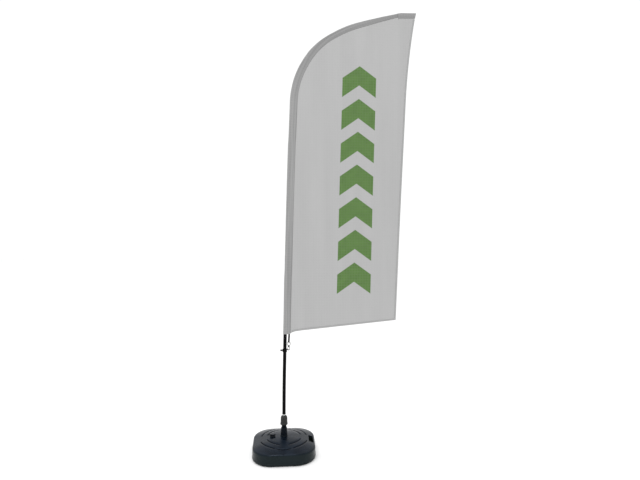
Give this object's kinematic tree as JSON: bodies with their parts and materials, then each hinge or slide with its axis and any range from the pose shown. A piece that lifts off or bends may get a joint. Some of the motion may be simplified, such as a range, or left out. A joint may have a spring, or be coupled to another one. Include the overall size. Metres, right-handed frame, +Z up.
{
  "type": "feather flag with pole",
  "caption": "Feather flag on a bent sectional pole that turns on a spindle in a water-filled base, with an elastic tension hook below the flag.",
  "frame": {"origin": "centre of the base's flat underside, on the axis that the pole turns about", "axes": "+Z up along the spindle; the flag lies in the XZ plane and reaches towards +X; the base's sides are square to X and Y"},
  "size_m": [1.1581, 0.433, 3.1018],
  "materials": {
    "tank_plastic": "blow-moulded, satin",
    "dark_plastic": "moulded, satin gloss",
    "black_nylon": "moulded",
    "grey_nylon": "moulded",
    "white_nylon": "moulded",
    "gasket_rubber": "moulded",
    "bright_steel": "turned and plated",
    "spring_steel": "oiled",
    "zinc": "zinc plated",
    "anodised_tube": "black anodised",
    "glass_fibre": "pultruded, ground to a taper",
    "elastic_web": "woven elastic",
    "sleeve_cloth": "oxford weave",
    "flag_cloth": "knitted polyester, printed"
  },
  "bodies": {
    "base": {"tank_body": "tank_plastic", "stand_tube": "dark_plastic", "spindle_pin": "bright_steel", "thrust_washer": "white_nylon", "retaining_clip": "spring_steel"},
    "collet": {"collet": "grey_nylon"},
    "nut": {"clamp_nut": "black_nylon"},
    "gasket": {"cap_gasket": "gasket_rubber"},
    "cap": {"filler_cap": "dark_plastic"},
    "rotor": {"rotor_tube": "black_nylon", "bush_lower": "white_nylon", "bush_upper": "white_nylon"},
    "pole": {"pole_foot": "black_nylon", "pole_lower": "anodised_tube", "stop_ring_lower": "black_nylon", "pole_middle": "anodised_tube", "stop_ring_upper": "black_nylon", "pole_upper": "glass_fibre", "pole_tip_cap": "gasket_rubber", "pole_sleeve": "sleeve_cloth", "tip_pocket": "sleeve_cloth", "flag_panel": "flag_cloth", "elastic_strap": "elastic_web"},
    "collar": {"tension_collar": "black_nylon", "snap_hook": "zinc", "gate_rivet": "spring_steel", "swivel_eye": "zinc"},
    "screw": {"clamp_screw": "zinc", "clamp_knob": "black_nylon"},
    "gate": {"hook_gate": "spring_steel"}
  },
  "joints": [
    {"name": "pole_turn", "type": "hinge", "parent": "base", "child": "rotor", "pos_m": [0, 0, 0.3], "axis": [0, 0, 1], "continuous": true},
    {"name": "pole_lift", "type": "slide", "parent": "rotor", "child": "pole", "axis": [0, 0, 1], "range_m": [0, 0.18]},
    {"name": "collar_slide", "type": "slide", "parent": "pole", "child": "collar", "axis": [0.0192, 0, 0.9998], "range_m": [-0.03, 0.03], "deforming": ["elastic_strap"]},
    {"name": "screw_turn", "type": "hinge", "parent": "collar", "child": "screw", "pos_m": [0.00552, 0, 0.70786], "axis": [-0.9998, 0, 0.0192], "range_deg": [0, 720]},
    {"name": "gate_open", "type": "hinge", "parent": "collar", "child": "gate", "pos_m": [0.03844, 0, 0.72953], "axis": [0, 1, 0], "range_deg": [0, 35], "stiffness_Nm_per_rad": 0.002},
    {"name": "nut_turn", "type": "hinge", "parent": "collet", "child": "nut", "pos_m": [0, 0, 0.22], "axis": [0, 0, 1], "range_deg": [0, 300]},
    {"name": "nut_lift", "type": "slide", "parent": "base", "child": "collet", "axis": [0, 0, 1], "range_m": [0, 0.0034]},
    {"name": "cap_turn", "type": "hinge", "parent": "gasket", "child": "cap", "pos_m": [-0.08, 0, 0.117], "axis": [0, 0, 1], "range_deg": [0, 900]},
    {"name": "cap_lift", "type": "slide", "parent": "base", "child": "gasket", "axis": [0, 0, 1], "range_m": [0, 0.0101]}
  ],
  "couplings": [
    {"joint": "nut_lift", "follows": "nut_turn", "m_per_rad": 0.00063662},
    {"joint": "cap_lift", "follows": "cap_turn", "m_per_rad": 0.00063662}
  ]
}
